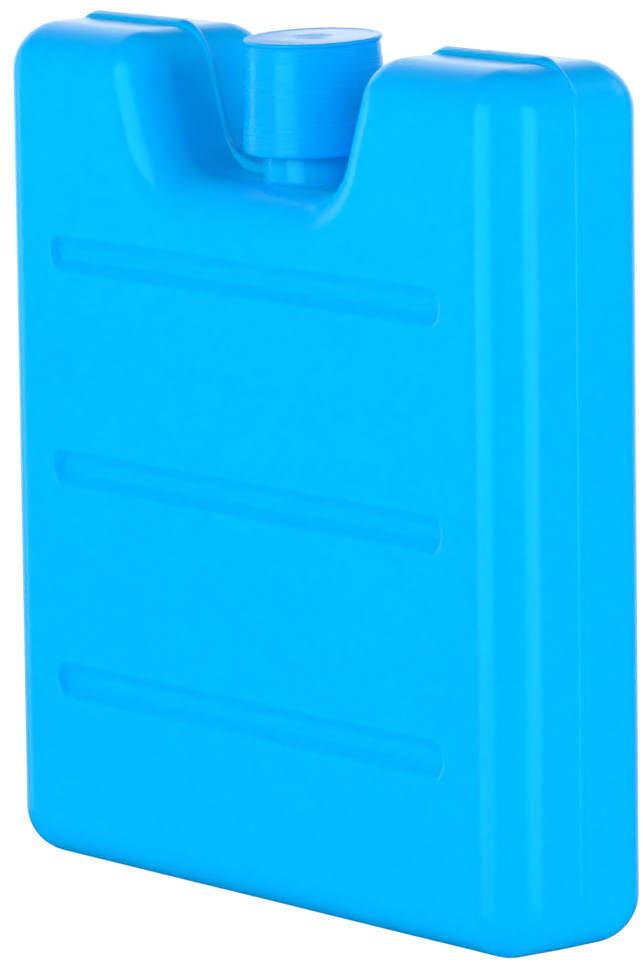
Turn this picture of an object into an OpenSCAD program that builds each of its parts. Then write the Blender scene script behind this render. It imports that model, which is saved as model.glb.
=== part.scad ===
/* [Body] */
// Width of the pack across its two sides
body_w = 114; // [100:1:140]
// Thickness of the pack from the front face to the back face
body_d = 29; // [25:0.5:40]
// Height of the shoulders above the base
body_h = 125; // [110:1:160]
// Radius of the rounded edge between a face and the sides
edge_r = 7.4; // [4:0.2:9]
// Radius of the outer corners of the outline
corner_r = 7.4; // [5:0.2:12]

/* [Notch] */
// Width of the notch at shoulder level, between the wall lines
notch_w = 50.4; // [46:0.2:56]
// Depth of the notch floor below the shoulders
notch_depth = 20.2; // [17:0.2:24]
// Lean of the notch walls away from the vertical, in degrees
notch_lean = 19.4; // [12:0.2:22]
// Radius where a shoulder turns down into the notch
notch_lip_r = 6.8; // [4:0.2:8]
// Radius where a notch wall turns into the floor
notch_foot_r = 8; // [5:0.2:9]

/* [Parting line] */
// Height of the fine bead left where the two mould halves met
bead_h = 0.2; // [0.1:0.05:0.5]
// Width of that bead at its foot
bead_w = 0.9; // [0.6:0.1:1.6]
// Width of that bead along its crest
bead_top_w = 0.3; // [0.1:0.05:0.5]
// Height of the pinch-off ridge on top of each shoulder
ridge_h = 0.95; // [0.5:0.05:2]
// Width of the ridge at its foot
ridge_w = 1.9; // [1.6:0.1:4]
// Width of the ridge along its crest
ridge_top_w = 1.1; // [0.5:0.1:1.5]
// Turn of the outer corner over which the ridge runs out, in degrees
ridge_outer_turn = 40; // [20:5:90]
// Turn of the notch's lip over which the ridge runs out, in degrees
ridge_inner_turn = 60; // [20:5:70]
// Height of the pinch-off web that joins the neck to the walls of the notch
web_h = 1.3; // [0.4:0.05:2]
// Slope of the notch's foot at which the web starts, in degrees
web_start = 62; // [40:1:68]
// Slope of the notch's foot at which the web has its full height, in degrees
web_full = 15; // [5:1:30]

/* [Grooves] */
// Number of stiffening grooves on each face
groove_count = 3; // [2:1:3]
// Height of the lowest groove's centre line above the base
groove_low = 28.1; // [20:0.1:34]
// Distance of the highest groove's centre line below the notch floor
groove_high = 13.1; // [12:0.1:24]
// Distance between the end of a groove and the side of the pack
groove_margin = 12.7; // [10:0.1:30]
// Width of a groove where it meets the face
groove_w = 5.3; // [4:0.1:8]
// Depth of a groove
groove_depth = 1.2; // [0.6:0.1:1.4]
// Slope of a groove's walls, in degrees
groove_slope = 45; // [40:1:60]
// Radius of a groove's lips and of the foot of its walls
groove_r = 0.8; // [0.3:0.1:1]
// Length of a groove's round end as a share of half its width
groove_end = 0.65; // [0.5:0.05:1]

/* [Neck] */
// Outer diameter of the filling neck
neck_d = 15.8; // [10:0.2:16]
// Radius of the flare at the foot of the neck
neck_foot_r = 0.8; // [0.5:0.1:2]
// Lean of the neck and its cap towards the front, in degrees
neck_lean = 2.3; // [0:0.1:4]
// Distance of the foot of the neck behind the parting line
neck_back = 0.8; // [0:0.1:1.5]

/* [Cap] */
// Diameter of the cap at its top
cap_top_d = 20; // [18:0.2:21]
// Diameter of the cap at its lower edge
cap_foot_d = 21.3; // [18:0.2:22]
// Height of the cap
cap_h = 16; // [14:0.2:18]
// Thickness of the cap's top over the end of the neck
cap_top_t = 3.2; // [2.4:0.1:5]
// Clear height between the notch floor and the cap
cap_lift = 4.2; // [2:0.1:6]
// Radial clearance between the neck and the bore of the cap
cap_clearance = 0.1; // [0.05:0.05:0.3]
// Radius of the cap's lower edge
cap_foot_r = 0.7; // [0.2:0.1:1.2]
// Radius of the rim round the cap's top
cap_rim_r = 0.4; // [0.2:0.1:0.8]
// Width of the flat rim round the cap's top
cap_rim_w = 0.5; // [0.3:0.1:1.5]
// Height of the rim's outer edge
cap_rim_h = 0.9; // [0.6:0.1:2]
// Distance the rim stands out from the side below it
cap_rim_out = 0.35; // [0.1:0.05:0.6]
// Depth of the cap's top below its rim
cap_sink = 0.3; // [0.1:0.1:1]
// Diameter of the moulded dimple in the middle of the cap
dimple_d = 6; // [3:0.5:10]
// Depth of that dimple
dimple_depth = 0.6; // [0.2:0.1:1]

/* [Hidden] */

plastic = [0, 0.74, 1];
half_w = body_w / 2;
half_d = body_d / 2;
flat_half_d = half_d - edge_r;
notch_floor_z = body_h - notch_depth;
groove_pitch = (notch_floor_z - groove_high - groove_low) / (groove_count - 1);
bore_h = cap_h - cap_top_t;
neck_h = cap_lift + bore_h;
least_r = 0.2;
corner_steps = 9;
edge_steps = 9;
sink = 2;

// Points along an arc, from angle a0 to a1, round the centre c
function arc(c, r, a0, a1, steps) = [
    for (i = [0 : steps])
        let (a = a0 + (a1 - a0) * i / steps)
            [c.x + r * cos(a), c.y + r * sin(a)]
];

// Half of the outline in the plane of the parting line, from the base's middle
// round to the notch floor's middle, drawn inwards by the inset.
// A wall line leans away from the vertical and stands off it by the inset.
function half_outline(inset) =
    let (
        r_out = max(corner_r - inset, least_r),
        r_lip = max(notch_lip_r - inset, least_r),
        r_foot = notch_foot_r + inset,
        side_x = half_w - inset,
        base_z = max(inset, 0),
        top_z = body_h - inset,
        floor_z = notch_floor_z - inset,
        wall_x = notch_w / 2 + inset / cos(notch_lean),
        wall_at_top = wall_x - inset * tan(notch_lean),
        wall_at_floor = wall_x - (notch_depth + inset) * tan(notch_lean),
        turn = tan((90 - notch_lean) / 2),
        lip_c = [wall_at_top + r_lip * turn, top_z - r_lip],
        foot_c = [wall_at_floor - r_foot * turn, floor_z + r_foot]
    )
    concat(
        arc([side_x - r_out, base_z + r_out], r_out, -90, 0, corner_steps),
        arc([side_x - r_out, top_z - r_out], r_out, 0, 90, corner_steps),
        arc(lip_c, r_lip, 90, 180 - notch_lean, corner_steps),
        arc(foot_c, r_foot, -notch_lean, -90, corner_steps)
    );

// The whole outline, the half and its mirror image
function outline(inset) =
    let (half = half_outline(inset), last = len(half) - 1)
    concat(half, [for (i = [last : -1 : 0]) [-half[i].x, half[i].y]]);

// A step from 0 to 1 with a soft start and end
function soft(t) = let (u = min(max(t, 0), 1)) u * u * (3 - 2 * u);

// Size of the bead at each point of the outline: its height, its width at its foot
// and its width along its crest. It swells into a ridge on each shoulder and into
// a web beside the neck.
function bead_size(share, h) = [
    bead_h + (h - bead_h) * share,
    bead_w + (ridge_w - bead_w) * share,
    bead_top_w + (ridge_top_w - bead_top_w) * share
];
function half_bead() =
    let (lip_turn = (90 - notch_lean) / corner_steps, corner_turn = 90 / corner_steps)
    concat(
        [for (i = [0 : corner_steps]) bead_size(0, ridge_h)],
        [for (i = [corner_steps : -1 : 0]) bead_size(soft(1 - i * corner_turn / ridge_outer_turn), ridge_h)],
        [for (i = [0 : corner_steps]) bead_size(soft(1 - i * lip_turn / ridge_inner_turn), ridge_h)],
        [
            for (i = [corner_steps : -1 : 0])
                bead_size(soft((web_start - i * lip_turn) / (web_start - web_full)), web_h)
        ]
    );
function bead_sizes() =
    let (half = half_bead(), last = len(half) - 1)
    concat(half, [for (i = [last : -1 : 0]) half[i]]);

// Rings of points from the front face to the parting line: the rounded edge,
// then the foot and the crest of the bead.
function front_rings() =
    let (
        size = bead_sizes(),
        flush = outline(0),
        proud = outline(-1)
    )
    concat(
        [
            for (i = [0 : edge_steps])
                let (a = 90 * i / edge_steps, y = -flat_half_d - edge_r * cos(a))
                    [for (p = outline(edge_r * (1 - sin(a)))) [p.x, y, p.y]]
        ],
        [[
            for (i = [0 : len(flush) - 1])
                [flush[i].x, -size[i][1] / 2, flush[i].y]
        ]],
        [[
            for (i = [0 : len(flush) - 1])
                let (p = flush[i] + (proud[i] - flush[i]) * size[i][0])
                    [p.x, -size[i][2] / 2, p.y]
        ]]
    );

// The flat face inside the rounded edge, as convex parts of a ring of n points:
// each shoulder with its flank, a fan under each foot of the notch, and the middle
function flat_face(n) =
    let (foot = 3 * (corner_steps + 1), middle = n / 2)
    concat(
        [[for (i = [0 : foot]) i]],
        [for (i = [foot : middle - 2]) [0, i, i + 1]],
        [[0, middle - 1, middle, n - 1]],
        [for (i = [middle : n - 2 - foot]) [i, i + 1, n - 1]],
        [[for (i = [n - 1 - foot : n - 1]) i]]
    );

// A closed skin over the rings of the front half and their mirror images
module slab() {
    half = front_rings();
    rings = concat(
        half,
        [for (j = [len(half) - 1 : -1 : 0]) [for (p = half[j]) [p.x, -p.y, p.z]]]
    );
    n = len(rings[0]);
    m = len(rings);
    sides = [
        for (j = [0 : m - 2], i = [0 : n - 1])
            let (k = (i + 1) % n)
                each [
                    [j * n + i, j * n + k, (j + 1) * n + k],
                    [j * n + i, (j + 1) * n + k, (j + 1) * n + i]
                ]
    ];
    flat = flat_face(n);
    front = [for (part = flat) [for (i = [len(part) - 1 : -1 : 0]) part[i]]];
    back = [for (part = flat) [for (i = part) (m - 1) * n + i]];
    polyhedron(points = [for (ring = rings) each ring], faces = concat(front, back, sides));
}

// Half of a groove's section, from its middle out past its lip.
// x is the distance from the centre line, y the height above the face.
function groove_profile() =
    let (
        steps = 3,
        lip_x = groove_w / 2,
        tangent = groove_r * tan(groove_slope / 2),
        wall_run = groove_depth / tan(groove_slope),
        floor_x = lip_x - wall_run - 2 * tangent,
        start = groove_slope / steps / 2,
        rise = groove_r
    )
    concat(
        arc([floor_x, groove_r - groove_depth], groove_r, -90, groove_slope - 90, steps),
        arc([lip_x, -groove_r], groove_r, 90 + groove_slope, 90, steps),
        [[lip_x + rise, rise * tan(start)]],
        [[lip_x + rise, rise]]
    );

// The tool that sinks one groove: a straight run and two round ends.
// It lies along X with the face in the plane z = 0.
module groove_tool() {
    half = groove_profile();
    last = len(half) - 1;
    run = body_w - 2 * groove_margin - groove_w * groove_end;
    rise = half[last].y;
    translate([-run / 2, 0, 0])
        rotate([90, 0, 90])
            linear_extrude(run)
                polygon(concat(half, [for (i = [last : -1 : 0]) [-half[i].x, half[i].y]]));
    for (side = [0, 1])
        mirror([side, 0, 0])
            translate([run / 2, 0, 0])
                scale([groove_end, 1, 1]) rotate([0, 0, -90])
                    rotate_extrude(angle = 180)
                        polygon(concat([[0, rise], [0, -groove_depth]], half));
}

module grooves() {
    for (i = [0 : groove_count - 1], face = [0, 1])
        mirror([0, face, 0])
            translate([0, -half_d, groove_low + i * groove_pitch])
                rotate([90, 0, 0])
                    groove_tool();
}

// Places a child on the neck's axis, at a height above the notch floor
module on_neck(height) {
    translate([0, neck_back, notch_floor_z])
        rotate([neck_lean, 0, 0])
            translate([0, 0, height])
                children();
}

// The neck, sealed at its end, with a flare where it grows out of the floor
module neck() {
    r = neck_d / 2;
    on_neck(0)
        rotate_extrude()
            polygon(concat(
                [[0, -sink], [r + neck_foot_r, -sink]],
                arc([r + neck_foot_r, neck_foot_r], neck_foot_r, -90, -180, edge_steps),
                [[r, neck_h], [0, neck_h]]
            ));
}

module body() {
    color(plastic) {
        difference() {
            slab();
            grooves();
        }
        neck();
    }
}

// The cap, seated on the end of the neck: a tapered cup with a rounded lower edge,
// a rim that stands out round its top and a moulded dimple in the middle
module cap() {
    top_r = cap_top_d / 2;
    foot_r = cap_foot_d / 2;
    bore_r = neck_d / 2 + cap_clearance;
    top_z = cap_h - cap_sink;
    rim_x = top_r - cap_rim_r - cap_rim_w;
    rim_z = cap_h - cap_rim_h;
    dimple_r = dimple_d / 2;
    color(plastic)
        on_neck(cap_lift)
            difference() {
                rotate_extrude()
                    polygon(concat(
                        [[0, 0]],
                        arc([foot_r - cap_foot_r, cap_foot_r], cap_foot_r, -90, 0, edge_steps),
                        [[top_r - cap_rim_out, rim_z - cap_rim_out], [top_r, rim_z]],
                        arc([top_r - cap_rim_r, cap_h - cap_rim_r], cap_rim_r, 0, 90, edge_steps),
                        [[rim_x, cap_h], [rim_x - cap_sink, top_z]],
                        arc_dish(dimple_r, dimple_depth, top_z)
                    ));
                translate([0, 0, -sink])
                    cylinder(h = bore_h + sink, r = bore_r);
            }
}

// Points of a shallow round hollow, from its edge down to its middle
function arc_dish(r, depth, z) =
    let (
        ball = (r * r + depth * depth) / (2 * depth),
        reach = asin(r / ball)
    )
    [
        for (i = [0 : edge_steps])
            let (a = reach * (1 - i / edge_steps))
                [ball * sin(a), z - depth + ball * (1 - cos(a))]
    ];

body();
cap();
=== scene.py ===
import math

import bpy
import numpy as np
from mathutils import Matrix, Vector


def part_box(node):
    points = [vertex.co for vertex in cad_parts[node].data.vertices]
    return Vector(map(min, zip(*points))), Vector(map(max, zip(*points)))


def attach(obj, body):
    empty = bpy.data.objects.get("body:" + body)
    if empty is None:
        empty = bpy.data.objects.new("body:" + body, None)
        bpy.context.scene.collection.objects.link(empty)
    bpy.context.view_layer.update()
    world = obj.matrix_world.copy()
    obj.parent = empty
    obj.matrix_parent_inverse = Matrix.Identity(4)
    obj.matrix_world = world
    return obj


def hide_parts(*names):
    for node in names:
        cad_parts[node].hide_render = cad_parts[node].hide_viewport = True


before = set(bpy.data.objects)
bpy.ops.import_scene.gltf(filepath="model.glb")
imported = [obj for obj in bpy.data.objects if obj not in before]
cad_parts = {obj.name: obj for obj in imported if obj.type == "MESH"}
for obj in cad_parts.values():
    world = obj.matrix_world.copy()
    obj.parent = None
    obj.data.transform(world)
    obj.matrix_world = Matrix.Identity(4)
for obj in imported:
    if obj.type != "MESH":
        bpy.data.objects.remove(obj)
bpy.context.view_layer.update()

MM = 0.001

# Camera, as the photo was taken. Angles in degrees, lengths in millimetres.
CAMERA_AZIMUTH = 50.578
CAMERA_ELEVATION = 8.877
CAMERA_DISTANCE = 1064.2
CAMERA_TURN = 50.557
CAMERA_PITCH = 8.975
CAMERA_ROLL = -0.735
FOCAL_PIXELS = 7386
PHOTO_HEIGHT_PIXELS = 967
SENSOR_MM = 36
AIM_HEIGHT = 62.5

# Parting line of the two mould halves, in millimetres and degrees
BEAD_H = 0.2
SIDE_BEAD_H = 0.03
DRAFT = 0.08
BEAD_W = 0.9
RIDGE_H = 0.95
RIDGE_W = 2.8
RIDGE_OUTER_TURN = 40
RIDGE_INNER_TURN = 52
WEB_H = 1.3
WEB_W = 1.3
WEB_START = 62
WEB_FULL = 15

# The bead's rounded section from its foot to its crest: shares of half its width and of its height
BEAD_PROFILE = [
    (1, 0), (0.98, 0.25), (0.93, 0.45), (0.82, 0.58), (0.6, 0.74), (0.35, 0.88), (0.15, 0.96), (0, 1),
]

# Outline of the pack, in millimetres and degrees, with its overall sizes read from the frame
pack_low, pack_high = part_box("body")
PACK_W = (pack_high.x - pack_low.x) / MM - 2 * BEAD_H
PACK_D = (pack_high.y - pack_low.y) / MM
PACK_H = pack_high.z / MM - RIDGE_H
EDGE_R = 7.4
CORNER_R = 7.4
NOTCH_W = 50.4
NOTCH_DEPTH = 20.2
NOTCH_LEAN = 19.4
NOTCH_LIP_R = 6.8
NOTCH_FOOT_R = 8.0
FLOOR_Z = PACK_H - NOTCH_DEPTH

# Grooves of both faces, in millimetres
GROOVE_COUNT = 3
GROOVE_LOW = 28.1
GROOVE_HIGH = FLOOR_Z - 13.1
GROOVE_W = 5.3
GROOVE_LIP = 0.4
GROOVE_FLOOR_W = 1.4
GROOVE_DEPTH = 1.5
GROOVE_MARGIN = 13.1
GROOVE_END = 0.65
GROOVE_SINK = 0.12
GROOVE_SINK_W = 8.0
DENT_DEPTH = 0.1
DENT_LENGTH = 30

# Neck and cap, in millimetres and degrees
NECK_D = 15.8
NECK_FOOT_R = 0.8
NECK_LEAN = 2.3
NECK_BACK = 0.8
NECK_SINK = 2
CAP_LIFT = 4.2
CAP_H = 16.4
CAP_TOP_D = 20
CAP_FOOT_D = 21.3
CAP_TOP_T = 3.2
CAP_CLEARANCE = 0.1
CAP_FOOT_R = 0.7
BORE_CHAMFER = 0.3
CAP_RIM_R = 0.4
CAP_RIM_W = 0.5
CAP_RIM_H = 0.5
CAP_RIM_OUT = 0.35
CAP_RIM_EASE = 0.04
CAP_SINK = 0.1
CAP_SINK_W = 0.4
DIMPLE_D = 6.5
DIMPLE_DEPTH = 0.3
DIMPLE_LAND = 0.3

# Fineness of the meshes
EDGE_STEPS = 18
CORNER_STEPS = 14
ROUND_STEPS = 128
RIM_STEPS = 8
WALL_STEPS = 6
FLOOR_STEPS = 4
UPPER_STEPS = 12
FINE = 0.2

# Studio: the floor's width in millimetres, and the strength of the world's light
FLOOR_W = 6000
FILL_LEVEL = 0.47
WALL_GLOW = 1.3

PACK_COLOUR = "#00BDFF"
PACK_CLOUD_COLOUR = "#00BBFE"
CAP_COLOUR = "#00B1FC"
CAP_CLOUD_COLOUR = "#00AFFB"
WHITE = "#FFFFFF"
FILL_COLOUR = "#D2DDFF"


def linear(colour):
    """An sRGB hex colour as linear red, green, blue and alpha."""
    shares = [int(colour[i:i + 2], 16) / 255 for i in (1, 3, 5)]
    return tuple(c / 12.92 if c <= 0.04045 else ((c + 0.055) / 1.055) ** 2.4 for c in shares) + (1,)


def node(tree, kind, inputs=None, **settings):
    """Adds a node. An input takes a value, a socket, or a node, for its first output."""
    new = tree.nodes.new(kind)
    for name, value in settings.items():
        setattr(new, name, value)
    for key, value in (inputs or {}).items():
        if isinstance(value, bpy.types.Node):
            tree.links.new(value.outputs[0], new.inputs[key])
        elif isinstance(value, bpy.types.NodeSocket):
            tree.links.new(value, new.inputs[key])
        else:
            new.inputs[key].default_value = value
    return new


def soft(t):
    """A step from 0 to 1 with a soft start and end."""
    u = np.clip(t, 0, 1)
    return u * u * (3 - 2 * u)


def arc(centre, radius, start, end, steps):
    """Points on an arc, both ends included. Angles in degrees."""
    angles = np.radians(np.linspace(start, end, steps + 1))
    return np.stack([centre[0] + radius * np.cos(angles), centre[1] + radius * np.sin(angles)], 1)


def line(start, end, shares):
    """Points on a straight stretch, at the given shares of its length."""
    start, end = np.array(start, float), np.array(end, float)
    return start + (end - start) * np.asarray(shares)[:, None]


# Skin of the pack

def top_parts(inset, shares):
    """The outline's top, from a shoulder's outer end to the middle of the notch floor, drawn inwards."""
    lean = math.radians(NOTCH_LEAN)
    r_corner = max(CORNER_R - inset, 0)
    r_lip = max(NOTCH_LIP_R - inset, 0)
    r_foot = NOTCH_FOOT_R + inset
    top_z = PACK_H - inset
    floor_z = FLOOR_Z - inset
    wall_x = NOTCH_W / 2 + inset / math.cos(lean)
    wall_at_top = wall_x - inset * math.tan(lean)
    wall_at_floor = wall_x - (NOTCH_DEPTH + inset) * math.tan(lean)
    turn = math.tan((math.pi / 2 - lean) / 2)
    lip = arc((wall_at_top + r_lip * turn, top_z - r_lip), r_lip, 90, 180 - NOTCH_LEAN, CORNER_STEPS)
    foot = arc((wall_at_floor - r_foot * turn, floor_z + r_foot), r_foot, -NOTCH_LEAN, -90, CORNER_STEPS)
    shoulder = line((PACK_W / 2 - inset - r_corner, top_z), lip[0], shares)
    wall = line(lip[-1], foot[0], np.linspace(0, 1, WALL_STEPS + 1))
    floor = line(foot[-1], (0, floor_z), np.linspace(0, 1, FLOOR_STEPS + 1))
    return shoulder, lip, wall, foot, floor


def joined(parts):
    """Stretches of an outline end to end, each start shared with the end before it."""
    return np.concatenate([parts[0]] + [part[1:] for part in parts[1:]])


def shoulder_shares():
    """Where a shoulder's mesh lines lie along it: fine over the ends of the grooves."""
    outer = PACK_W / 2 - EDGE_R
    inner = top_parts(EDGE_R, [1])[1][0][0]
    tip = PACK_W / 2 - GROOVE_MARGIN
    ends = (tip + 1, tip - GROOVE_W / 2 - 1)
    x = joined([
        np.linspace(outer, ends[0], 4),
        np.linspace(ends[0], ends[1], round((ends[0] - ends[1]) / FINE) + 1),
        np.linspace(ends[1], inner, 5),
    ])
    return (outer - x) / (outer - inner)


def groove_rows():
    """Heights of a face's mesh rows up to the last groove: fine over each groove."""
    reach = GROOVE_SINK_W / 2 + 2 * FINE
    rows = [EDGE_R]
    for z in np.linspace(GROOVE_LOW, GROOVE_HIGH, GROOVE_COUNT):
        rows.extend(np.linspace(rows[-1], z - reach, 5)[1:-1])
        rows.extend(np.linspace(z - reach, z + reach, round(2 * reach / FINE) + 1))
    return np.array(rows)


def half_ring(inset, columns, rows, shares):
    """The outline from the middle of the base round to the middle of the notch floor, drawn inwards."""
    r = max(CORNER_R - inset, 0)
    side_x = PACK_W / 2 - inset
    low_z = max(inset, 0)
    high_z = PACK_H - inset - r
    low_corner = arc((side_x - r, low_z + r), r, -90, 0, CORNER_STEPS)
    high_corner = arc((side_x - r, high_z), r, 0, 90, CORNER_STEPS)
    return joined([
        line((0, low_z), low_corner[0], columns),
        low_corner,
        line(low_corner[-1], high_corner[0], rows),
        high_corner,
        *top_parts(inset, shares),
    ])


def bead_sizes(columns, rows, shares):
    """The bead's height and width at each point of the outline. It swells into a ridge on the
    shoulder and into a web beside the neck."""
    outer = soft(1 - (90 - np.linspace(0, 90, CORNER_STEPS + 1)) / RIDGE_OUTER_TURN)
    inner = soft(1 - np.linspace(0, 90 - NOTCH_LEAN, CORNER_STEPS + 1) / RIDGE_INNER_TURN)
    slope = np.linspace(90 - NOTCH_LEAN, 0, CORNER_STEPS + 1)
    web = soft((WEB_START - slope) / (WEB_START - WEB_FULL))
    plain = np.zeros(len(columns) + CORNER_STEPS + len(rows) - 1)
    ridge = joined([plain, outer, np.ones(len(shares)), inner, np.zeros(WALL_STEPS + 1)])
    share = joined([ridge, web, np.ones(FLOOR_STEPS + 1)])
    station = np.arange(len(share))
    top = np.where(station < len(ridge), RIDGE_H, WEB_H)
    top_width = np.where(station < len(ridge), RIDGE_W, WEB_W)
    side = [len(columns) - 1, len(columns) - 1 + CORNER_STEPS, len(plain), len(plain) + CORNER_STEPS]
    low = np.interp(station, side, [BEAD_H, SIDE_BEAD_H, SIDE_BEAD_H, BEAD_H])
    return low + (top - low) * share, BEAD_W + (top_width - BEAD_W) * share


def strips(count, length, start=0):
    """Four-sided faces between count lines of points, each of that length."""
    return [
        (start + i * length + k, start + i * length + k + 1,
         start + (i + 1) * length + k + 1, start + (i + 1) * length + k)
        for i in range(count - 1) for k in range(length - 1)
    ]


def quarter_skin():
    """A quarter of the pack's skin, right and front: its face, its rounded edge and half the bead."""
    shares = shoulder_shares()
    low_rows = groove_rows()
    top = joined(top_parts(EDGE_R, shares))[::-1]
    high_shares = np.linspace(0, 1, UPPER_STEPS + 1)[1:]
    face = np.array([
        [(x, z) for z in [*low_rows, *(low_rows[-1] + (top_z - low_rows[-1]) * high_shares)]]
        for x, top_z in top
    ])
    columns = top[:, 0] / top[-1, 0]
    side_z = face[-1, :, 1]
    rows = (side_z - side_z[0]) / (side_z[-1] - side_z[0])
    flat = PACK_D / 2 - EDGE_R

    layers = []
    for turn in np.radians(np.linspace(0, 90, EDGE_STEPS + 1)):
        ring = half_ring(EDGE_R - (EDGE_R - DRAFT) * math.sin(turn), columns, rows, shares)
        layers.append((ring, np.full(len(ring), -flat - EDGE_R * math.cos(turn))))
    flush = half_ring(0, columns, rows, shares)
    proud = half_ring(-1, columns, rows, shares)
    height, width = bead_sizes(columns, rows, shares)
    layers.append((half_ring(DRAFT / 2, columns, rows, shares), -(flat + width / 2) / 2))
    layers.append((flush, -width / 2 - FINE))
    for spread, rise in BEAD_PROFILE:
        layers.append((flush + (proud - flush) * (height * rise)[:, None], -width / 2 * spread))

    points = [np.stack([ring[:, 0], y, ring[:, 1]], 1) for ring, y in layers]
    faces = strips(len(layers), len(flush))
    grid = face.reshape(-1, 2)
    points.append(np.stack([grid[:, 0], np.full(len(grid), -PACK_D / 2), grid[:, 1]], 1))
    faces += strips(face.shape[0], face.shape[1], start=len(layers) * len(flush))
    return np.concatenate(points), faces


def four_ways(points, faces):
    """The quarter and its mirror images across both middle planes."""
    all_points, all_faces = [], []
    for side in (1, -1):
        for half in (1, -1):
            start = len(all_points) * len(points)
            step = -side * half
            all_points.append(points * (side, half, 1))
            all_faces += [tuple(start + corner for corner in face[::step]) for face in faces]
    return np.concatenate(all_points), all_faces


def piece(name, points, faces):
    """A mesh object from points in millimetres, with points that coincide made one."""
    own, index = np.unique(np.round(points, 4) + 0.0, axis=0, return_inverse=True)
    index = index.ravel()
    closed = []
    for face in faces:
        corners = list(dict.fromkeys(int(index[corner]) for corner in face))
        if len(corners) > 2:
            closed.append(corners)
    mesh = bpy.data.meshes.new(name)
    mesh.from_pydata((own * MM).tolist(), [], closed)
    mesh.update()
    obj = bpy.data.objects.new(name, mesh)
    bpy.context.scene.collection.objects.link(obj)
    return obj


def settled(obj, name):
    """The object with its modifiers turned into a plain mesh."""
    depsgraph = bpy.context.evaluated_depsgraph_get()
    mesh = bpy.data.meshes.new_from_object(obj.evaluated_get(depsgraph), depsgraph=depsgraph)
    mesh.name = name
    obj.modifiers.clear()
    obj.data = mesh
    obj.name = name
    return obj


def neck_axis(height):
    """The place and lean of the neck's axis, at a height in millimetres above the notch floor."""
    foot = Matrix.Translation(Vector((0, NECK_BACK, FLOOR_Z)) * MM)
    lean = Matrix.Rotation(math.radians(NECK_LEAN), 4, "X")
    return foot @ lean @ Matrix.Translation((0, 0, height * MM))


def neck_stub():
    """The filling neck, with a flare where it grows out of the notch floor."""
    r = NECK_D / 2
    flare = arc((r + NECK_FOOT_R, NECK_FOOT_R), NECK_FOOT_R, -90, -180, CORNER_STEPS)
    top = CAP_LIFT + CAP_H - CAP_TOP_T
    section = [(0, -NECK_SINK), (r + NECK_FOOT_R, -NECK_SINK), *flare, (r, top), (0, top)]
    turns = np.linspace(0, 2 * math.pi, ROUND_STEPS + 1)
    points = np.array([[(x * math.cos(a), x * math.sin(a), z) for x, z in section] for a in turns])
    stub = piece("neck_stub", points.reshape(-1, 3), strips(len(turns), len(section)))
    stub.data.transform(neck_axis(0))
    return stub


# Geometry trees

def geometry_tree(name, sizes):
    """An empty geometry tree with a geometry and named sizes going in, and its input node."""
    tree = bpy.data.node_groups.new(name, "GeometryNodeTree")
    tree.interface.new_socket("Geometry", in_out="INPUT", socket_type="NodeSocketGeometry")
    tree.interface.new_socket("Geometry", in_out="OUTPUT", socket_type="NodeSocketGeometry")
    for size in sizes:
        tree.interface.new_socket(size, in_out="INPUT", socket_type="NodeSocketFloat")
    return tree, node(tree, "NodeGroupInput").outputs


def run_tree(obj, tree, sizes, name):
    """Runs a geometry tree on the object and keeps the result as a plain mesh."""
    modifier = obj.modifiers.new(tree.name, "NODES")
    modifier.node_group = tree
    for socket in tree.interface.items_tree:
        if socket.in_out == "INPUT" and socket.name in sizes:
            modifier[socket.identifier] = float(sizes[socket.name])
    return settled(obj, name)


def finish_tree(tree, geometry, material):
    """Ends a geometry tree: smooth shading, real geometry, and the material."""
    smooth = node(tree, "GeometryNodeSetShadeSmooth", {"Geometry": geometry})
    real = node(tree, "GeometryNodeRealizeInstances", {"Geometry": smooth})
    painted = node(tree, "GeometryNodeSetMaterial", {"Geometry": real, "Material": material})
    node(tree, "NodeGroupOutput", {"Geometry": painted})


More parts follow.
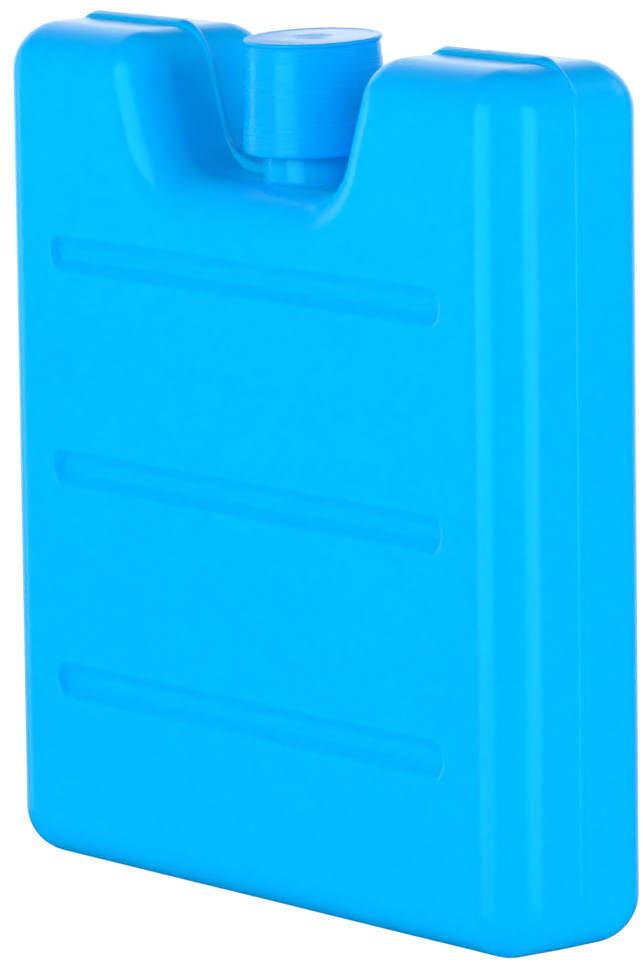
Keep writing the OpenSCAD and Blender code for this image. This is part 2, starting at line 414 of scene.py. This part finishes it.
def groove_tree(material):
    """Sinks evenly spaced grooves with round ends into both faces, and gives the walls shallow dents."""
    tree, size = geometry_tree("pressed_grooves", [
        "Lowest groove", "Groove spacing", "Groove count", "Half run", "End length", "Floor half width",
        "Lip half width", "Depth", "Sink half width", "Sink", "Dent depth", "Dent length",
    ])
    place = node(tree, "GeometryNodeInputPosition")
    axes = node(tree, "ShaderNodeSeparateXYZ", {0: place}).outputs
    height = node(tree, "ShaderNodeMath", {0: axes["Z"], 1: size["Lowest groove"]}, operation="SUBTRACT")
    steps = node(tree, "ShaderNodeMath", {0: height, 1: size["Groove spacing"]}, operation="DIVIDE")
    nearest = node(tree, "ShaderNodeMath", {0: steps}, operation="ROUND")
    last = node(tree, "ShaderNodeMath", {0: size["Groove count"], 1: 1.0}, operation="SUBTRACT")
    index = node(tree, "ShaderNodeClamp", {"Value": nearest, "Min": 0.0, "Max": last})
    centre = node(tree, "ShaderNodeMath", {0: index, 1: size["Groove spacing"]}, operation="MULTIPLY")
    across = node(tree, "ShaderNodeMath", {0: height, 1: centre}, operation="SUBTRACT")
    sideways = node(tree, "ShaderNodeMath", {0: axes["X"]}, operation="ABSOLUTE")
    beyond = node(tree, "ShaderNodeMath", {0: sideways, 1: size["Half run"]}, operation="SUBTRACT")
    past_end = node(tree, "ShaderNodeMath", {0: beyond, 1: 0.0}, operation="MAXIMUM")
    stretched = node(tree, "ShaderNodeMath", {0: past_end, 1: size["End length"]}, operation="DIVIDE")
    away = node(tree, "ShaderNodeCombineXYZ", {"X": stretched, "Z": across})
    distance = node(tree, "ShaderNodeVectorMath", {0: away}, operation="LENGTH").outputs["Value"]
    depth = node(tree, "ShaderNodeMapRange", {
        "Value": distance, "From Min": size["Floor half width"], "From Max": size["Lip half width"],
        "To Min": size["Depth"], "To Max": 0.0,
    }, interpolation_type="SMOOTHSTEP")
    sink = node(tree, "ShaderNodeMapRange", {
        "Value": distance, "From Min": size["Floor half width"], "From Max": size["Sink half width"],
        "To Min": size["Sink"], "To Max": 0.0,
    }, interpolation_type="SMOOTHSTEP")
    hollow = node(tree, "ShaderNodeMath", {0: depth, 1: sink}, operation="ADD")
    side = node(tree, "ShaderNodeMath", {0: axes["Y"]}, operation="SIGN")
    inward = node(tree, "ShaderNodeMath", {0: side, 1: -1.0}, operation="MULTIPLY")
    press = node(tree, "ShaderNodeMath", {0: hollow, 1: inward}, operation="MULTIPLY")
    offset = node(tree, "ShaderNodeCombineXYZ", {"Y": press})
    waves = node(tree, "ShaderNodeMath", {0: 1.0, 1: size["Dent length"]}, operation="DIVIDE")
    noise = node(tree, "ShaderNodeTexNoise", {"Vector": place, "Scale": waves, "Detail": 1.0})
    dent = node(tree, "ShaderNodeMath", {0: noise, 1: size["Dent depth"]}, operation="MULTIPLY")
    normal = node(tree, "GeometryNodeInputNormal")
    sunk = node(tree, "ShaderNodeVectorMath", {0: normal, "Scale": dent}, operation="SCALE")
    total = node(tree, "ShaderNodeVectorMath", {0: offset, 1: sunk}, operation="SUBTRACT")
    pressed = node(tree, "GeometryNodeSetPosition", {"Geometry": size["Geometry"], "Offset": total})
    finish_tree(tree, pressed, material)
    return tree


def revolve_tree(material):
    """Turns a section, given as a line of points, round the Z axis into a closed solid."""
    tree, size = geometry_tree("turned_section", ["Path radius"])
    section = node(tree, "GeometryNodeMeshToCurve", {"Mesh": size["Geometry"]})
    path = node(tree, "GeometryNodeCurvePrimitiveCircle", {
        "Resolution": ROUND_STEPS, "Radius": size["Path radius"],
    })
    upright = node(tree, "GeometryNodeSetCurveNormal", {"Curve": path}, mode="Z_UP")
    skin = node(tree, "GeometryNodeCurveToMesh", {"Curve": upright, "Profile Curve": section})
    closed = node(tree, "GeometryNodeMergeByDistance", {"Geometry": skin, "Distance": 1e-6})
    finish_tree(tree, closed, material)
    return tree


# Materials

def blown_polyethylene():
    """Blow-moulded polyethylene: a satin skin with the fine grain of a blasted mould, slight orange
    peel, and a little light let in under the surface, so that it glows and has no hard shade. The
    grain is drawn 0.3 mm wide, coarser than a real mould leaves, so that it shows."""
    material = bpy.data.materials.new("blow_moulded_polyethylene")
    material.use_nodes = True
    tree = material.node_tree
    shader = tree.nodes["Principled BSDF"]
    place = node(tree, "ShaderNodeTexCoord").outputs["Object"]
    cloud = node(tree, "ShaderNodeTexNoise", {"Vector": place, "Scale": 1 / (28 * MM), "Detail": 2.0})
    tint = node(tree, "ShaderNodeMix", {
        "Factor": cloud, 6: linear(PACK_COLOUR), 7: linear(PACK_CLOUD_COLOUR),
    }, data_type="RGBA")
    peel = node(tree, "ShaderNodeTexNoise", {"Vector": place, "Scale": 1 / (2.6 * MM), "Detail": 1.0})
    grain = node(tree, "ShaderNodeTexNoise", {"Vector": place, "Scale": 1 / (0.3 * MM), "Detail": 2.0})
    gloss = node(tree, "ShaderNodeMapRange", {"Value": peel, "To Min": 0.16, "To Max": 0.19})
    waves = node(tree, "ShaderNodeBump", {"Strength": 1.0, "Distance": 0.001 * MM, "Height": peel})
    grained = node(tree, "ShaderNodeBump", {
        "Strength": 1.0, "Distance": 0.0004 * MM, "Height": grain, "Normal": waves,
    })
    tree.links.new(tint.outputs[2], shader.inputs["Base Color"])
    tree.links.new(gloss.outputs[0], shader.inputs["Roughness"])
    tree.links.new(grained.outputs[0], shader.inputs["Normal"])
    shader.inputs["IOR"].default_value = 1.5
    shader.inputs["Specular Tint"].default_value = (0.05, 0.9, 1, 1)
    shader.inputs["Subsurface Weight"].default_value = 0.8
    shader.inputs["Subsurface Radius"].default_value = (0.02, 0.07, 1)
    shader.inputs["Subsurface Scale"].default_value = 6 * MM
    return material


def turned_polyethylene():
    """Injection-moulded polyethylene from a turned cavity: glossy, with fine irregular lines running
    round it that break up its highlights."""
    material = bpy.data.materials.new("injection_moulded_polyethylene")
    material.use_nodes = True
    tree = material.node_tree
    shader = tree.nodes["Principled BSDF"]
    place = node(tree, "ShaderNodeTexCoord").outputs["Object"]
    upright = node(tree, "ShaderNodeMapping", {
        "Vector": place, "Rotation": (-math.radians(NECK_LEAN), 0, 0), "Scale": (0.02, 0.02, 1),
    })
    lines = node(tree, "ShaderNodeTexNoise", {"Vector": upright, "Scale": 1 / (0.45 * MM), "Detail": 2.0})
    cloud = node(tree, "ShaderNodeTexNoise", {"Vector": place, "Scale": 1 / (6 * MM), "Detail": 1.0})
    tint = node(tree, "ShaderNodeMix", {
        "Factor": cloud, 6: linear(CAP_COLOUR), 7: linear(CAP_CLOUD_COLOUR),
    }, data_type="RGBA")
    gloss = node(tree, "ShaderNodeMapRange", {
        "Value": lines, "From Min": 0.35, "From Max": 0.65, "To Min": 0.08, "To Max": 0.32,
    })
    turned = node(tree, "ShaderNodeBump", {"Strength": 0.8, "Distance": 0.045 * MM, "Height": lines})
    tree.links.new(tint.outputs[2], shader.inputs["Base Color"])
    tree.links.new(gloss.outputs[0], shader.inputs["Roughness"])
    tree.links.new(turned.outputs[0], shader.inputs["Normal"])
    shader.inputs["IOR"].default_value = 1.5
    shader.inputs["Specular Tint"].default_value = (0.05, 0.9, 1, 1)
    shader.inputs["Subsurface Weight"].default_value = 0.5
    shader.inputs["Subsurface Radius"].default_value = (0.1, 0.2, 1)
    shader.inputs["Subsurface Scale"].default_value = 1 * MM
    return material


# Pieces

def make_pack(material):
    """The blown pack: its lofted skin with the neck grown into it, then the grooves pressed in."""
    pack = piece("pack", *four_ways(*quarter_skin()))
    stub = neck_stub()
    union = pack.modifiers.new("neck", "BOOLEAN")
    union.operation = "UNION"
    union.solver = "EXACT"
    union.object = stub
    settled(pack, "pack")
    bpy.data.objects.remove(stub)
    lip = GROOVE_W / 2 + GROOVE_LIP
    return run_tree(pack, groove_tree(material), {
        "Lowest groove": GROOVE_LOW * MM,
        "Groove spacing": (GROOVE_HIGH - GROOVE_LOW) / (GROOVE_COUNT - 1) * MM,
        "Groove count": GROOVE_COUNT,
        "Half run": (PACK_W / 2 - GROOVE_MARGIN - GROOVE_W / 2 * GROOVE_END) * MM,
        "End length": GROOVE_END,
        "Floor half width": GROOVE_FLOOR_W / 2 * MM,
        "Lip half width": lip * MM,
        "Depth": (GROOVE_DEPTH - GROOVE_SINK) * MM,
        "Sink half width": GROOVE_SINK_W / 2 * MM,
        "Sink": GROOVE_SINK * MM,
        "Dent depth": DENT_DEPTH * MM,
        "Dent length": DENT_LENGTH * MM,
    }, "pack")


def cap_section():
    """The cap's section from the middle of its bore's end, round its foot and rim, to its dimple."""
    bore_r = NECK_D / 2 + CAP_CLEARANCE
    bore_h = CAP_H - CAP_TOP_T
    foot_r, top_r = CAP_FOOT_D / 2, CAP_TOP_D / 2
    sunk_z = CAP_H - CAP_SINK
    rim_x = top_r - CAP_RIM_R - CAP_RIM_W
    half = DIMPLE_D / 2
    ball = (half ** 2 + DIMPLE_DEPTH ** 2) / (2 * DIMPLE_DEPTH)
    reach = math.degrees(math.asin(half / ball))
    foot = arc((foot_r - CAP_FOOT_R, CAP_FOOT_R), CAP_FOOT_R, -90, 0, RIM_STEPS)
    rim = arc((top_r - CAP_RIM_R, CAP_H - CAP_RIM_R), CAP_RIM_R, 0, 90, RIM_STEPS)
    rim_z = CAP_H - CAP_RIM_H
    side_x = top_r - CAP_RIM_OUT
    ease = CAP_RIM_EASE
    return np.concatenate([
        line((0, bore_h), (bore_r, bore_h), np.linspace(0, 1, 4)),
        line((bore_r, bore_h), (bore_r, BORE_CHAMFER), np.linspace(0, 1, 5)[1:]),
        line((bore_r + BORE_CHAMFER, 0), foot[0], np.linspace(0, 1, 3)[:-1]),
        foot,
        line(foot[-1], (side_x, rim_z - CAP_RIM_OUT), np.linspace(0, 1, 36)[1:]),
        line((side_x + 2 * ease, rim_z - 2.5 * ease), (top_r - ease, rim_z), [0, 0.5, 1]),
        line((top_r, rim_z + 1.5 * ease), rim[0], [0, 0.5]),
        rim,
        line((rim_x, CAP_H), (rim_x - CAP_SINK_W, sunk_z), [0, 0.25, 0.75, 1]),
        line((rim_x - CAP_SINK_W, sunk_z), (half + DIMPLE_LAND, sunk_z), np.linspace(0, 1, 8)[1:]),
        arc((0, sunk_z - DIMPLE_DEPTH + ball), ball, reach - 90, -90, 12),
    ])


def make_cap(material):
    """The pressed-on cap, turned from its section and seated on the neck's leaning axis."""
    section = cap_section()
    path_r = CAP_TOP_D / 2
    mesh = bpy.data.meshes.new("cap_section")
    points = [((x - path_r) * MM, -z * MM, 0) for x, z in section[::-1]]
    mesh.from_pydata(points, [(i, i + 1) for i in range(len(points) - 1)], [])
    cap = bpy.data.objects.new("cap_section", mesh)
    bpy.context.scene.collection.objects.link(cap)
    run_tree(cap, revolve_tree(material), {"Path radius": path_r * MM}, "cap_shell")
    cap.data.transform(neck_axis(CAP_LIFT))
    return cap


# Studio

def span(tree, value, middle, half, edge):
    """1 where a value is less than half away from the middle, and 0 beyond, with a soft edge."""
    off = node(tree, "ShaderNodeMath", {0: value, 1: middle}, operation="SUBTRACT")
    away = node(tree, "ShaderNodeMath", {0: off}, operation="ABSOLUTE")
    return node(tree, "ShaderNodeMapRange", {
        "Value": away, "From Min": half - edge, "From Max": half + edge, "To Min": 1.0, "To Max": 0.0,
    }, interpolation_type="SMOOTHSTEP")


def soft_boxes(tree, turn, height, boxes):
    """The glow of soft boxes round the object. Each has its middle and half its width, in degrees
    round the object, its middle and half its height, on a sphere of radius 1, and its strength."""
    glow = None
    for middle, half, level, rise, strength in boxes:
        across = span(tree, turn, middle, half, 4)
        upward = span(tree, height, level, rise, 0.07)
        share = node(tree, "ShaderNodeMath", {0: across, 1: upward}, operation="MULTIPLY")
        box = node(tree, "ShaderNodeMath", {0: share, 1: strength}, operation="MULTIPLY")
        glow = box if glow is None else node(tree, "ShaderNodeMath", {0: glow, 1: box}, operation="ADD")
    return glow


def make_world():
    """White to the camera, a plain pale light on the object, and soft boxes in what it reflects."""
    world = bpy.data.worlds.new("studio")
    world.use_nodes = True
    tree = world.node_tree
    direction = node(tree, "ShaderNodeTexCoord").outputs["Generated"]
    axes = node(tree, "ShaderNodeSeparateXYZ", {0: direction}).outputs
    back = node(tree, "ShaderNodeMath", {0: axes["Y"], 1: -1.0}, operation="MULTIPLY")
    turn = node(tree, "ShaderNodeMath", {0: axes["X"], 1: back}, operation="ARCTAN2")
    degrees = node(tree, "ShaderNodeMath", {0: turn}, operation="DEGREES")
    away = node(tree, "ShaderNodeMath", {0: degrees, 1: CAMERA_AZIMUTH}, operation="SUBTRACT")
    behind = node(tree, "ShaderNodeMath", {0: away}, operation="RADIANS")
    facing = node(tree, "ShaderNodeMath", {0: behind}, operation="COSINE")
    wall = node(tree, "ShaderNodeMapRange", {
        "Value": facing, "From Min": -0.96, "From Max": -0.7, "To Min": WALL_GLOW, "To Max": 0.0,
    })
    wall_band = span(tree, axes["Z"], 0.2, 0.4, 0.12)
    low_wall = node(tree, "ShaderNodeMath", {0: wall, 1: wall_band}, operation="MULTIPLY")
    boxes = soft_boxes(tree, degrees, axes["Z"], [
        (-76, 8, 0.02, 0.23, 0.7),
        (0, 18, 0.16, 0.37, 2.9),
        (106, 16, 0.12, 0.33, 2.9),
        (168, 17, 0.48, 0.16, 1.0),
    ])
    shine = node(tree, "ShaderNodeMath", {0: boxes, 1: low_wall}, operation="ADD")
    rays = node(tree, "ShaderNodeLightPath").outputs
    plain = node(tree, "ShaderNodeMix", {
        "Factor": rays["Is Camera Ray"], "A": FILL_LEVEL, "B": 1.0,
    }, data_type="FLOAT")
    glow = node(tree, "ShaderNodeMix", {
        "Factor": rays["Is Glossy Ray"], "A": plain, "B": shine,
    }, data_type="FLOAT")
    tree.links.new(glow.outputs[0], tree.nodes["Background"].inputs["Strength"])
    seen = node(tree, "ShaderNodeMath", {
        0: rays["Is Camera Ray"], 1: rays["Is Glossy Ray"],
    }, operation="MAXIMUM")
    tint = node(tree, "ShaderNodeMix", {
        "Factor": seen, 6: linear(FILL_COLOUR), 7: linear(WHITE),
    }, data_type="RGBA")
    tree.links.new(tint.outputs[2], tree.nodes["Background"].inputs["Color"])
    world.cycles.sampling_method = "NONE"
    bpy.context.scene.world = world


def soft_lamp(name, azimuth, elevation, distance, size, power):
    """A square soft lamp that looks at the pack, its angles in degrees, its distance and size in
    metres and its power in watts. It lights, and leaves reflections to the world."""
    data = bpy.data.lights.new(name, "AREA")
    data.shape = "SQUARE"
    data.size = size
    data.energy = power
    lamp = bpy.data.objects.new(name, data)
    a, e = math.radians(azimuth), math.radians(elevation)
    aim = Vector((0, 0, AIM_HEIGHT * MM))
    away = Vector((math.sin(a) * math.cos(e), -math.cos(a) * math.cos(e), math.sin(e)))
    lamp.location = aim + distance * away
    lamp.rotation_euler = (aim - lamp.location).to_track_quat("-Z", "Y").to_euler()
    lamp.visible_glossy = False
    lamp.visible_camera = False
    bpy.context.scene.collection.objects.link(lamp)


def make_floor():
    """A pale floor, white to the camera with a faint shadow, and left out of what the pack reflects."""
    corners = np.array([(-1, -1, 0), (1, -1, 0), (1, 1, 0), (-1, 1, 0)]) * FLOOR_W / 2
    floor = piece("floor", corners, [(0, 1, 2, 3)])
    material = bpy.data.materials.new("pale_floor")
    material.use_nodes = True
    tree = material.node_tree
    tree.nodes.remove(tree.nodes["Principled BSDF"])
    lit = node(tree, "ShaderNodeBsdfDiffuse", {"Color": linear("#F2F2F2")})
    glow = node(tree, "ShaderNodeEmission", {"Color": linear(WHITE), "Strength": 1.2})
    seen = node(tree, "ShaderNodeLightPath").outputs["Is Camera Ray"]
    share = node(tree, "ShaderNodeMapRange", {"Value": seen, "To Min": 0.4, "To Max": 0.8})
    both = node(tree, "ShaderNodeMixShader", {"Fac": share, 1: lit, 2: glow})
    tree.links.new(both.outputs[0], tree.nodes["Material Output"].inputs["Surface"])
    floor.data.materials.append(material)
    floor.visible_glossy = False


def make_camera():
    """The camera of the photo: nearly level, far off, and turned to the pack's front right edge."""
    a, e = math.radians(CAMERA_AZIMUTH), math.radians(CAMERA_ELEVATION)
    turn, pitch, roll = (math.radians(v) for v in (CAMERA_TURN, CAMERA_PITCH, CAMERA_ROLL))
    away = Vector((math.sin(a) * math.cos(e), -math.cos(a) * math.cos(e), math.sin(e)))
    place = away * CAMERA_DISTANCE + Vector((0, 0, AIM_HEIGHT))
    flat = math.cos(pitch)
    forward = Vector((-math.sin(turn) * flat, math.cos(turn) * flat, -math.sin(pitch)))
    level = Vector((math.cos(turn), math.sin(turn), 0))
    up = level.cross(forward)
    right = math.cos(roll) * level + math.sin(roll) * up
    up = math.cos(roll) * up - math.sin(roll) * level
    data = bpy.data.cameras.new("camera")
    data.sensor_width = SENSOR_MM
    data.lens = FOCAL_PIXELS / PHOTO_HEIGHT_PIXELS * SENSOR_MM
    camera = bpy.data.objects.new("camera", data)
    axes = Matrix((right, up, -forward)).transposed().to_4x4()
    camera.matrix_world = Matrix.Translation(place * MM) @ axes
    bpy.context.scene.collection.objects.link(camera)
    bpy.context.scene.camera = camera


pack = make_pack(blown_polyethylene())
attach(pack, "root")
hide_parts("body")

cap = make_cap(turned_polyethylene())
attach(cap, "root")
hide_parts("cap")

make_floor()
make_world()
soft_lamp("front_box", 5, 20, 0.75, 0.5, 3.25)
soft_lamp("side_box", 112, 8, 1.1, 0.7, 8.0)
soft_lamp("left_box", -75, 12, 1.1, 0.7, 3.0)
make_camera()

scene = bpy.context.scene
scene.view_settings.view_transform = "Standard"
